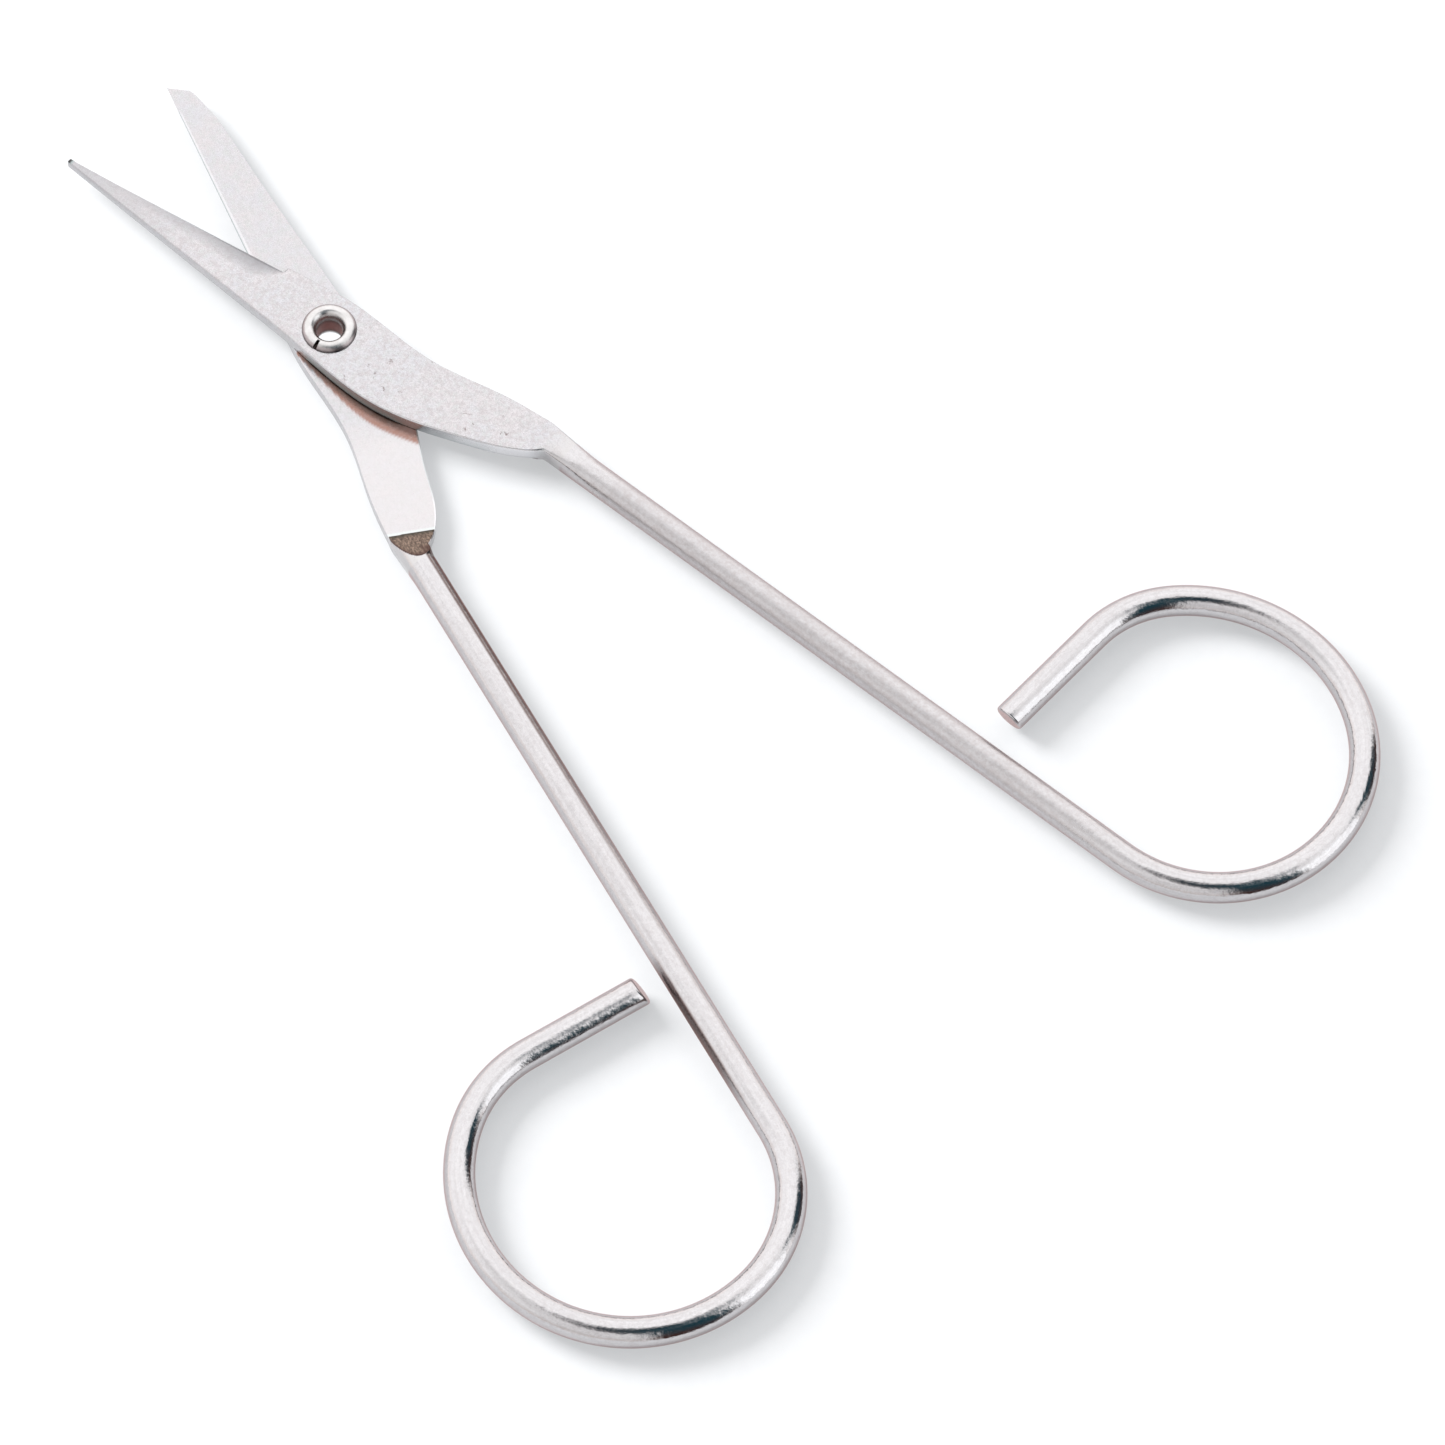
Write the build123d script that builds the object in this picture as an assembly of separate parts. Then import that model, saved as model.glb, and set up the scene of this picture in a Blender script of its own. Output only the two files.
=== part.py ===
from build123d import *
import math
import os

# Small wire-handled snips for thread, yarn and tape. Millimetres and degrees.
#
# The object has three pieces: two arms, each bent and forged from one length of round steel
# wire, and the hollow rivet (eyelet) that joins them. Each arm is written as two nodes that
# meet on one round face: the flat forged blade, and the round wire handle behind it.
#
# Frame: the origin is the centre of the eyelet's bore, half way between the two blades.
# +Z runs along the bore, out of the front arm's face. +X points at the finger loops and halves
# the angle between the arms, which stand open at rest.

# Driving dimensions ------------------------------------------------------------------------
WIRE_D = 2.38               # 3/32 in round wire, both arms
REST_HALF_ANGLE = 19.95     # each arm's own X axis from +X at rest
INNER_GAP = 0.04            # running gap between the inner faces of the two blades

# The shank's axis, in an arm's own frame (X from the pivot along the arm, Y to its outer side)
SHANK_START = 21.5          # pivot to the first fully round section of the wire
SHANK_HEADING = -9.2        # the shank leans towards the other arm
SHANK_LENGTH = 53.9         # straight wire between the blade and the loop
LOOP_END = 10.0             # straight wire from the last arc to the cut end
WIRE_END_CHAMFER = 0.2

# Blade and tang outline, shared by both arms
HEEL = (-0.5, 3.05)         # the cutting edge ends here, beside the eyelet
SPINE_END = (-4.0, -1.82)   # the straight back of the blade ends here
OUTER_WAIST = (8.5, 1.6)    # hollow side of the tang
OUTER_HIP = (14.5, 1.78)
BELLY = (6.8, -4.0)         # full side of the tang
INNER_HIP = (13.6, -3.1)
TANG_END = 18.3             # last flat section of the tang
TANG_OUTER_Y = 1.62

# Each arm: nose of the blade from the cutting edge round to the back (a third point is the end
# of a rounded corner), the tang's inner corner, and the loop as (radius, turn) of tangent arcs.
FRONT_ARM = {
    "nose": [(-25.5, 3.4), (-25.65, 2.83)],
    "tang_inner_y": -1.75,
    "loop": [(11.4, 74.3), (11.8, 71.1), (13.1, 80.1), (9.3, 40.7)],
}
REAR_ARM = {
    "nose": [(-25.75, 4.65), (-24.95, 3.1), (-23.85, 2.44)],
    "tang_inner_y": -2.25,
    "loop": [(10.6, 71.8), (12.4, 83.6), (12.8, 72.6), (10.3, 39.4)],
}

BEVEL_DEPTH = 0.5           # the outer face is ground this far down at the cutting edge
BEVEL_WIDTH = 1.1
BEVEL_RUN_OUT = -5.7        # the grind stops short of the eyelet

NECK_LENGTH = 2.1           # the tang narrows to the wire's width over this length
STEP_FOOT = 18.5            # the coined step leaves the inner face here
STEP_LENGTH = 2.7           # and climbs to the wire's crown over this length
STEP_SKEW = 9.3             # its foot is turned this far from square

BORE_R = 1.0                # open throat of the eyelet
BARREL_R = 1.3
FRONT_HOLE_CLEARANCE = 0.04
BORE_STRAIGHT_HALF = 1.0    # the throat is cylindrical this far each side of the origin
HEAD_R = 2.15
HEAD_CREST_R = 1.6
HEAD_HEIGHT = 0.45
HEAD_CLEARANCE = 0.02
SPLIT_WIDTH = 0.3           # the front head split once when it was rolled over
SPLIT_ANGLE = -72.0
SPLIT_INNER_R = 1.4

# Worked out from them ----------------------------------------------------------------------
WIRE_R = WIRE_D / 2
BLADE_T = WIRE_R            # the outer face is level with the wire's crown
STACK_HALF = INNER_GAP / 2 + BLADE_T
HEADING = Vector(1, 0, 0).rotate(Axis.Z, SHANK_HEADING)
SHANK_ORIGIN = Vector(SHANK_START, 0, 0)
ROOT_LENGTH = SHANK_START - TANG_END - NECK_LENGTH
NECK_ORIGIN = SHANK_ORIGIN - HEADING * ROOT_LENGTH
ON_BASE = (Align.CENTER, Align.CENTER, Align.MIN)


# One arm in its own frame: the inner face is on Z = 0 and the outer face above it ------------
def blade_face(nose, tang_inner_y):
    """Outline of the flat blade and tang."""
    nose_lines = [Line(nose[0], nose[1])]
    if len(nose) == 3:
        nose_lines.append(TangentArc(nose[1], nose[2], tangent=nose_lines[0] % 1))
    back = Line(nose[-1], SPINE_END)
    tang_inner = (TANG_END, tang_inner_y)
    tang_outer = (TANG_END, TANG_OUTER_Y)
    belly = Spline(SPINE_END, BELLY, INNER_HIP, tang_inner, tangents=(back % 1, (1, 0.45)))
    square_end = Line(tang_inner, tang_outer)
    waist = Spline(tang_outer, OUTER_HIP, OUTER_WAIST, HEEL, tangents=((-1, 0.08), (-1, 0.06)))
    cutting_edge = Line(HEEL, nose[0])
    return make_face([*nose_lines, back, belly, square_end, waist, cutting_edge])


def edge_grind(edge_corner):
    """What the grind takes off the outer face along the cutting edge."""
    corner = Vector(*edge_corner)
    along = (Vector(*HEEL) - corner).normalized()
    tilt = math.degrees(math.atan2(BEVEL_DEPTH, BEVEL_WIDTH))
    facet_normal = Vector(0, 0, 1).rotate(Axis(origin=(0, 0, 0), direction=along), -tilt)
    start = corner + Vector(0, 0, BLADE_T - BEVEL_DEPTH) - along
    length = (BEVEL_RUN_OUT - start.X) / along.X
    facet = Plane(origin=start, x_dir=along, z_dir=facet_normal)
    return facet * Box(length, 4 * BEVEL_WIDTH, BLADE_T, align=(Align.MIN, Align.CENTER, Align.MIN))


def neck(tang_inner_y):
    """Upper half of the transition: a flat section drawn down to the top half of the wire."""
    width = TANG_OUTER_Y - tang_inner_y
    tang_centre = Vector(TANG_END, (TANG_OUTER_Y + tang_inner_y) / 2, BLADE_T / 2)
    tang_plane = Plane(origin=tang_centre, x_dir=(0, 1, 0), z_dir=(1, 0, 0))
    tang_section = tang_plane * Rectangle(width, BLADE_T)
    side = HEADING.rotate(Axis.Z, 90)

    def rim(angle):
        across = side * math.cos(math.radians(angle))
        up = Vector(0, 0, math.sin(math.radians(angle)))
        return NECK_ORIGIN + (across + up) * WIRE_R

    half_round = make_face([
        Line(rim(180), rim(0)),
        ThreePointArc(rim(0), rim(30), rim(60)),
        ThreePointArc(rim(60), rim(90), rim(120)),
        ThreePointArc(rim(120), rim(150), rim(180)),
    ])
    return loft([tang_section.face(), half_round], ruled=True)


def round_root():
    """Round wire inside the forging: whole past the neck, and its lower half under the neck."""
    whole = Plane(origin=SHANK_ORIGIN, z_dir=-HEADING) * Cylinder(WIRE_R, ROOT_LENGTH, align=ON_BASE)
    under_neck = Plane(origin=NECK_ORIGIN, z_dir=-HEADING) * Cylinder(WIRE_R, NECK_LENGTH, align=ON_BASE)
    under_neck -= Box(100, 100, 10, align=ON_BASE)
    slope = math.degrees(math.atan2(WIRE_R, STEP_LENGTH))
    block = Box(20, 20, 10, align=(Align.CENTER, Align.CENTER, Align.MAX))
    below_step = Pos(STEP_FOOT, 0, 0) * Rot(Z=STEP_SKEW) * Rot(Y=slope) * block
    return whole + under_neck - below_step


def arm_blade(arm, hole_r):
    """Forged end of one arm: blade, pivot hole, tang and neck."""
    plate = extrude(blade_face(arm["nose"], arm["tang_inner_y"]), BLADE_T)
    plate -= edge_grind(arm["nose"][0])
    plate -= Cylinder(hole_r, 4 * BLADE_T)
    return plate + neck(arm["tang_inner_y"]) + round_root()


def arm_wire(loop):
    """Round wire of one arm in one sweep: straight shank, finger loop and straight end."""
    path = [Line(SHANK_ORIGIN, SHANK_ORIGIN + HEADING * SHANK_LENGTH)]
    for radius, turn in loop:
        path.append(JernArc(path[-1] @ 1, path[-1] % 1, radius, turn))
    loop_exit = path[-1] @ 1
    path.append(Line(loop_exit, loop_exit + (path[-1] % 1) * LOOP_END))
    wire = sweep(Plane(origin=SHANK_ORIGIN, z_dir=HEADING) * Circle(WIRE_R), path=Wire(path))
    cut_end = wire.faces().sort_by_distance(path[-1] @ 1)[0]
    return chamfer(cut_end.edges(), WIRE_END_CHAMFER)


def place_front(shape):
    return Pos(Z=INNER_GAP / 2) * Rot(Z=REST_HALF_ANGLE) * shape


def place_rear(shape):
    """The rear arm is the same forging turned over about X."""
    return Pos(Z=-INNER_GAP / 2) * Rot(Z=-REST_HALF_ANGLE) * Rot(X=180) * shape


# Eyelet ------------------------------------------------------------------------------------
def rolled_head(side):
    """Section lines of one head, from the throat over its crest to the barrel; side is +1 or -1."""
    under = STACK_HALF + HEAD_CLEARANCE
    crest = STACK_HALF + HEAD_HEIGHT
    lean = math.sqrt(0.5)
    flare_r = (HEAD_CREST_R - BORE_R) * lean
    flare_z = BORE_STRAIGHT_HALF + (crest - BORE_STRAIGHT_HALF) * lean
    roll_r = (HEAD_R - HEAD_CREST_R) * lean
    roll_z = under + (crest - under) * lean
    throat = (BORE_R, side * BORE_STRAIGHT_HALF)
    top = (HEAD_CREST_R, side * crest)
    rim = (HEAD_R, side * under)
    return [
        ThreePointArc(throat, (HEAD_CREST_R - flare_r, side * flare_z), top),
        ThreePointArc(top, (HEAD_CREST_R + roll_r, side * roll_z), rim),
        Line(rim, (BARREL_R, side * under)),
    ]


def pivot_eyelet():
    """Hollow rivet with a rolled head on each side and an open bore."""
    under = STACK_HALF + HEAD_CLEARANCE
    bore = Line((BORE_R, -BORE_STRAIGHT_HALF), (BORE_R, BORE_STRAIGHT_HALF))
    barrel = Line((BARREL_R, -under), (BARREL_R, under))
    section = make_face([*rolled_head(1), *rolled_head(-1), bore, barrel])
    body = revolve(Plane.XZ * section, Axis.Z)
    notch = Box(HEAD_R, SPLIT_WIDTH, HEAD_HEIGHT, align=(Align.MIN, Align.CENTER, Align.MIN))
    return body - Rot(Z=SPLIT_ANGLE) * Pos(SPLIT_INNER_R, 0, under) * notch


# Nodes -------------------------------------------------------------------------------------
nodes = {
    "front_blade": place_front(arm_blade(FRONT_ARM, BARREL_R + FRONT_HOLE_CLEARANCE)),
    "front_handle": place_front(arm_wire(FRONT_ARM["loop"])),
    "rear_blade": place_rear(arm_blade(REAR_ARM, BARREL_R)),
    "rear_handle": place_rear(arm_wire(REAR_ARM["loop"])),
    "pivot_eyelet": pivot_eyelet(),
}

os.makedirs("parts", exist_ok=True)
for name, shape in nodes.items():
    export_step(shape, f"parts/{name}.step")
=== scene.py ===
import math
from typing import NamedTuple

import bmesh
import bpy
import numpy as np
from mathutils import Matrix, Vector
from mathutils.kdtree import KDTree


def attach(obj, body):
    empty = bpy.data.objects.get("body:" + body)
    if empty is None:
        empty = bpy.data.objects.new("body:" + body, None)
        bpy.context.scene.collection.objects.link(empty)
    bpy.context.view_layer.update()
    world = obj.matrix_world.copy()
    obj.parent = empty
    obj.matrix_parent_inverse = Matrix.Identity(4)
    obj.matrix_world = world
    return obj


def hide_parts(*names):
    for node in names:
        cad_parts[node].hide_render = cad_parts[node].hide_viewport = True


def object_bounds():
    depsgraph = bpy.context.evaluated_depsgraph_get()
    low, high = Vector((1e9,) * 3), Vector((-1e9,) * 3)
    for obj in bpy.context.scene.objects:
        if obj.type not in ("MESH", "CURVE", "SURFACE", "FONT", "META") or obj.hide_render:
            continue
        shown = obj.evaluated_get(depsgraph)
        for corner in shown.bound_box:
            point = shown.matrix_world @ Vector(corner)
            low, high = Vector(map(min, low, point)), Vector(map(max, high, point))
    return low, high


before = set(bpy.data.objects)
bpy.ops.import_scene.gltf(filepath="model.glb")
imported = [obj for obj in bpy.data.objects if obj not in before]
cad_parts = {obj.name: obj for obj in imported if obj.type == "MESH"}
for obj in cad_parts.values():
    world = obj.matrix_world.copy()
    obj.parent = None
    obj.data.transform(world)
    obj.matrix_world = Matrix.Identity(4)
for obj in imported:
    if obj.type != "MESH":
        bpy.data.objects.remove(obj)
cad_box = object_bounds()

# Looks of the wire-handled thread snips. Shapes are worked out in millimetres, in each arm's own
# frame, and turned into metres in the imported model's frame when a mesh is made.
#
# Arm frame: X from the pivot along the arm, Y to the arm's outer side, and Z from the blade's
# inner face (Z = 0) to its outer face. A section of an arm is a ring of RING points that starts
# at the outer side and goes round over the outer face, down the inner side, and back under.
MM = 0.001

# The CAD's dimensions, repeated here
WIRE_R = 1.19
REST_HALF_ANGLE = 19.95
INNER_GAP = 0.04
SHANK_START = 21.5
SHANK_HEADING = math.radians(-9.2)
SHANK_LENGTH = 53.9
LOOP_END = 10.0
HEEL = (-0.5, 3.05)
SPINE_END = (-4.0, -1.82)
OUTER_WAIST = (8.5, 1.6)
OUTER_HIP = (14.5, 1.78)
BELLY = (6.8, -4.0)
INNER_HIP = (13.6, -3.1)
TANG_END = 18.3
TANG_OUTER_Y = 1.62
NECK_END = 20.4
BEVEL_RUN_OUT = -5.7
STEP_LENGTH = 2.7
BORE_R = 1.0
BARREL_R = 1.3
HEAD_R = 2.15
HEAD_CREST_Z = 1.66
HEAD_UNDER_Z = 1.23
SPLIT_ANGLE = math.radians(-72.0)

# What differs between the two arms:
# nose: where the cutting edge ends; the blade's back starts at the first point of back
# loop: (radius, turn in degrees) of the finger loop's arcs
# cut_lean: how far the wire's cut end leans, in X per Z
# crown: how square the neck's inner side is underneath, where 2 is round
# dark_reflection, end_reflected, tumbled: from 0 to 1, the painted dark reflection along the inner
# side of the shank, the painted reflection of the wire's dark end on its outer side, and how cloudy
# tumbling has left it
ARMS = {
    "front": {
        "nose": (-25.5, 3.4),
        "back": [(-25.65, 2.83)],
        "back_start_slope": -0.215,
        "tang_inner_y": -1.75,
        "loop": [(11.4, 74.3), (11.8, 71.1), (13.1, 80.1), (9.3, 40.7)],
        "hole_r": 1.34,
        "cut_lean": 0.2,
        "crown": 2.0,
        "dark_reflection": 0.1,
        "end_reflected": 0.0,
        "tumbled": 1.0,
        "turned_over": False,
    },
    "rear": {
        "nose": (-25.75, 4.65),
        "back": [
            (-24.95, 3.1), (-24.4, 2.74), (-23.5, 2.41), (-22.4, 2.03), (-20.6, 1.57), (-16.7, 0.82)],
        "back_start_slope": -0.9,
        "tang_inner_y": -2.25,
        "loop": [(10.6, 71.8), (12.4, 83.6), (12.8, 72.6), (10.3, 39.4)],
        "hole_r": 1.3,
        "cut_lean": 0.4,
        "crown": 9.0,
        "dark_reflection": 0.95,
        "end_reflected": 0.85,
        "tumbled": 0.3,
        "turned_over": True,
    },
}

# Finer shape than the CAD's
BLADE_T = WIRE_R
TIP_X = -26.0
TIP_T = 0.8                 # the blades thin towards their tips
TAPER_START = -3.4
FACET_WIDTH = 0.28          # honed facet along the cutting edge
FACET_TOP = 0.52
# The hollow grind at stations along X: its depth at the cutting edge, and how far in it reaches
HOLLOW_X = (TIP_X, -18.0, -10.0, -8.0, -6.6, BEVEL_RUN_OUT)
HOLLOW_DEPTHS = (0.08, 0.22, 0.42, 0.45, 0.40, 0.25)
HOLLOW_REACHES = (1.0, 2.0, 3.4, 3.4, 2.6, 1.2)
# How far in from the cutting edge the grinding, and its painted shade, shows
GRIND_SHADE_X = (TIP_X, -20.0, -12.0, -8.0, -6.6, BEVEL_RUN_OUT)
GRIND_SHADE_REACHES = (0.4, 0.9, 1.7, 2.1, 1.4, 0.5)
RUN_OUT_FADE = 0.15         # half the length in which the grind runs out
CORNER_R = 0.11             # tumbled corners of the forging
FOOT_R = 0.04               # corners round the inner face
KEEN_FOOT_R = 0.012         # the same on the blade
KEEN_WALL_Z = 0.03          # height at which the honed facet starts
SHOULDER_SLOPE = 0.36       # the tang's inner side runs in to the wire: its first slope,
SHOULDER_BEND = 0.17        # how fast that grows,
SHOULDER_SOFTNESS = 0.1     # and the size of the corner where it meets the wire
FOOT_LINE = (18.5, -0.164)  # the coined step's foot: X at Y = 0, and its lean in X per Y
FLAT_FADE = (18.0, 24.2)    # the outer flat turns into the round wire between these
CROWN_FADE = (17.6, 20.4)   # and the underside between these
CROWN_ROUNDING = (19.8, 21.4)   # a square inner side of the neck turns round between these
END_ROUND = 0.22            # rounding of the wires' cut ends
HEAD_CREST_R = 1.56
THROAT_HALF = 0.62          # the rivet's flare starts deeper than the CAD's
SPLIT_START_R = 1.46
SPLIT_FLOOR_Z = HEAD_UNDER_Z + 0.02
EYELET_COLUMNS = 240
ROLL_STEPS = 16
TOUCHING = 0.01             # points this close to a plane lie on it

# Where the finish and painted shade of the forging change, along X: each pair is a fade, and the belly
# is the part of the tang's inner side blackened as painted shade between the arms
TIP_DARK = (-25.1, -25.5)
EDGE_LINE_START = -23.0
BELLY_DARK = (-1.4, 0.2)
BELLY_PALER = (7.6, 9.6)
BELLY_END = (15.0, 17.0)
RUB_SHEEN_START = (4.0, 10.0)
RUB_SHEEN_END = (18.2, 20.0)
POLISH_START = (18.8, 22.4)
REFLECTION_START = (19.9, 20.5)
SHADOW_START, SHADOW_END = -1.5, 14.0     # on the front arm, whose belly's painted brown shadow lies on the rear arm

# Intervals of a ring, from the outer side round: foot, wall, facet, outer face, corner, wall,
# foot, and the inner face or underside
HI_FOOT, HI_WALL, HI_FACET, FACE, LO_CORNER, LO_WALL, LO_FOOT, UNDER = 2, 4, 5, 14, 4, 5, 2, 36
LO_WALL_START = HI_FOOT + HI_WALL + HI_FACET + FACE + LO_CORNER
RING = LO_WALL_START + LO_WALL + LO_FOOT + UNDER
HALF = RING // 2            # the point on the inner side
TURN = 2 * math.pi / RING


def smoothstep(low, high, value):
    t = min(max((value - low) / (high - low), 0.0), 1.0)
    return t * t * (3 - 2 * t)


def lerp(a, b, t):
    return a + (b - a) * t


def clamped_spline(points, slope_start, slope_end):
    """y(x) through the points, smooth to its second derivative, with the given end slopes."""
    xs, ys = (np.array(c, float) for c in zip(*points))
    h = np.diff(xs)
    rise = np.diff(ys) / h
    n = len(xs)
    system, right = np.eye(n), np.zeros(n)
    right[0], right[-1] = slope_start, slope_end
    for i in range(1, n - 1):
        system[i, i - 1 : i + 2] = h[i], 2 * (h[i - 1] + h[i]), h[i - 1]
        right[i] = 3 * (h[i] * rise[i - 1] + h[i - 1] * rise[i])
    slopes = np.linalg.solve(system, right)

    def y(x):
        i = min(max(int(np.searchsorted(xs, x)) - 1, 0), n - 2)
        t = (x - xs[i]) / h[i]
        a, b = slopes[i] * h[i], slopes[i + 1] * h[i]
        cubic = (2 * t**3 - 3 * t**2 + 1) * ys[i] + (t**3 - 2 * t**2 + t) * a
        return cubic + (3 * t**2 - 2 * t**3) * ys[i + 1] + (t**3 - t**2) * b

    return y


# Sections of an arm ------------------------------------------------------------------------
def axis_y(x):
    """The shank's axis, drawn back to x."""
    return (x - SHANK_START) * math.tan(SHANK_HEADING)


def outline(arm):
    """The forging's two edges as y(x): the cutting edge and waist, and the back and belly."""
    nose, back_points = arm["nose"], [*arm["back"], SPINE_END]
    edge_slope = (HEEL[1] - nose[1]) / (HEEL[0] - nose[0])
    back_slope = (SPINE_END[1] - arm["back"][-1][1]) / (SPINE_END[0] - arm["back"][-1][0])
    half_width = WIRE_R / math.cos(SHANK_HEADING)
    edge = clamped_spline([nose, HEEL], edge_slope, edge_slope)
    waist = clamped_spline(
        [HEEL, OUTER_WAIST, OUTER_HIP, (TANG_END, TANG_OUTER_Y)], -0.06, -0.08)
    back = clamped_spline(back_points, arm["back_start_slope"], back_slope)
    belly = clamped_spline(
        [SPINE_END, BELLY, INNER_HIP, (TANG_END, arm["tang_inner_y"])], back_slope, 0.45)

    def high(x):
        if x < HEEL[0]:
            return edge(x)
        if x < TANG_END:
            return waist(x)
        t = min((x - TANG_END) / (NECK_END - TANG_END), 1.0)
        return lerp(TANG_OUTER_Y, axis_y(x) + half_width, 1 - (1 - t) ** 2)

    def shoulder(x):
        """The tang's inner side runs in until it meets the wire's own edge, in a soft corner."""
        past = x - TANG_END
        tang_y = arm["tang_inner_y"] + SHOULDER_SLOPE * past + SHOULDER_BEND * past**2
        wire_y = axis_y(x) - half_width
        return (tang_y + wire_y - math.hypot(tang_y - wire_y, SHOULDER_SOFTNESS)) / 2

    def low(x):
        if x < SPINE_END[0]:
            return back(x)
        return belly(x) if x < TANG_END else shoulder(x)

    return high, low


def blade_thickness(x):
    return lerp(TIP_T, BLADE_T, smoothstep(TIP_X, TAPER_START, x))


def flat_section(width, x):
    """Ring of the flat forging at x: (inset from the outer side, height) of each point."""
    on_blade = 1 - smoothstep(BEVEL_RUN_OUT - RUN_OUT_FADE, BEVEL_RUN_OUT + RUN_OUT_FADE, x)
    top = blade_thickness(x)
    corner = min(CORNER_R, 0.2 * width)
    facet = min(lerp(CORNER_R, FACET_WIDTH, on_blade), 0.4 * width)
    hollow = on_blade * float(np.interp(x, HOLLOW_X, HOLLOW_DEPTHS))
    reach = min(float(np.interp(x, HOLLOW_X, HOLLOW_REACHES)), 0.7 * width)
    foot = lerp(FOOT_R, KEEN_FOOT_R, on_blade)

    def face_z(inset):
        return top - hollow * max(1 - inset / reach, 0.0) ** 2

    # The outer side: a square foot, a wall, and a rounded corner or the honed facet
    facet_top = face_z(facet)
    wall_top = lerp(facet_top - CORNER_R, KEEN_WALL_Z, on_blade)
    honed_top = lerp(facet_top, min(FACET_TOP, facet_top - 0.02), on_blade)
    ring = [(foot, 0.0), (0.3 * foot, 0.3 * foot), (0.0, foot)]
    ring += [(0.0, lerp(foot, wall_top, i / HI_WALL)) for i in range(1, HI_WALL + 1)]
    for i in range(1, HI_FACET + 1):
        t = i / HI_FACET
        round_inset = facet * (1 - math.cos(t * math.pi / 2))
        round_z = wall_top + (facet_top - wall_top) * math.sin(t * math.pi / 2)
        keen_z = lerp(wall_top, honed_top, t)
        ring.append((lerp(round_inset, facet * t, on_blade), lerp(round_z, keen_z, on_blade)))
    # The outer face, which meets the facet in a slightly softened line
    for i in range(1, FACE + 1):
        inset = lerp(facet, width - corner, i / FACE)
        height = face_z(inset)
        if i == 1:
            height = lerp(height, facet_top + 0.7 * (height - facet_top), on_blade)
        ring.append((inset, height))
    # The inner side, and back along the inner face
    for i in range(1, LO_CORNER + 1):
        quarter = i / LO_CORNER * math.pi / 2
        ring.append((width - corner * (1 - math.sin(quarter)), top - corner * (1 - math.cos(quarter))))
    ring += [(width, lerp(top - corner, foot, i / LO_WALL)) for i in range(1, LO_WALL + 1)]
    ring += [(width - 0.3 * foot, 0.3 * foot), (width - foot, 0.0)]
    ring += [(lerp(width - foot, foot, i / UNDER), 0.0) for i in range(1, UNDER)]
    return ring


def ramp_z(x, y):
    """Height of the coined step's sloping plane."""
    return -max(x - FOOT_LINE[0] - FOOT_LINE[1] * y, 0.0) * WIRE_R / STEP_LENGTH


def underside_z(q, x, crown):
    """Height of the round underside at q, which goes from -1 at the inner side to 1 at the outer."""
    power = lerp(crown, 2.0, smoothstep(*CROWN_ROUNDING, x)) if q < 0 else 2.0
    return -WIRE_R * max(1 - abs(q) ** power, 0.0) ** (1 / power)


class FinishAndShade(NamedTuple):
    """State of the forging's surface at a point, with the painted shade, highlights and reflections on
    it, each from 0 to 1.
    """

    patina_and_shade: float = 0.0
    grind_and_shade: float = 0.0
    polish: float = 0.0
    rub_and_sheen: float = 0.0
    coined: float = 0.0
    dirt: float = 0.0


def finish_and_shade_at(k, x, ring, crown):
    """Finish and painted shade of point k of the ring at x, apart from its painted dark reflection."""
    place, height = ring[k][:2], ring[k][2]
    ramp = ramp_z(*place)
    if k > HALF and ramp < 0 and abs(height - ramp) < TOUCHING:
        q = 1 - 2 * math.dist(place, ring[0][:2]) / math.dist(ring[HALF][:2], ring[0][:2])
        depth = ramp - underside_z(q, x, crown)
        return FinishAndShade(coined=min(0.5 + depth / 0.5, 1.0))
    # Painted edge lines along the cutting edge: a dark teal-grey line at the foot of the outer wall,
    # and a painted highlight beside it on the inner face
    if k in (0, RING - 2, RING - 1) and EDGE_LINE_START < x < BEVEL_RUN_OUT:
        return FinishAndShade(patina_and_shade=0.5) if k == 0 else FinishAndShade(rub_and_sheen=0.45)
    patina_and_shade = smoothstep(*TIP_DARK, x) if k < LO_WALL_START else 0.0
    rub_and_sheen = grind_and_shade = 0.0
    if LO_WALL_START - 2 <= k <= HALF:
        # The belly is blackened as painted shade between the arms, darkest low down towards the inner
        # face
        belly = smoothstep(*BELLY_DARK, x) * (1 - 0.75 * smoothstep(*BELLY_PALER, x))
        belly *= 1 - smoothstep(*BELLY_END, x)
        low_down = 1 - 0.6 * smoothstep(0.08, 0.32, height) - 0.4 * smoothstep(0.6, 1.1, height)
        patina_and_shade = max(patina_and_shade, low_down * belly)
        # Outside the belly the wall is rubbed bright, which also stands as a painted sheen of bright
        # reflections
        rub_and_sheen = (1 - belly) * smoothstep(*RUB_SHEEN_START, x) * (1 - smoothstep(*RUB_SHEEN_END, x))
    # Ground finish along the cutting edge, which also carries painted shade of the hollow grind
    if HI_FOOT + HI_WALL <= k <= LO_WALL_START - LO_CORNER and x < BEVEL_RUN_OUT + 0.1:
        inset = math.dist(place, ring[HI_FOOT][:2])
        grind_and_shade = max(1 - inset / float(np.interp(x, GRIND_SHADE_X, GRIND_SHADE_REACHES)), 0.0) ** 0.7
    return FinishAndShade(patina_and_shade, grind_and_shade, smoothstep(*POLISH_START, x), rub_and_sheen)


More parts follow.
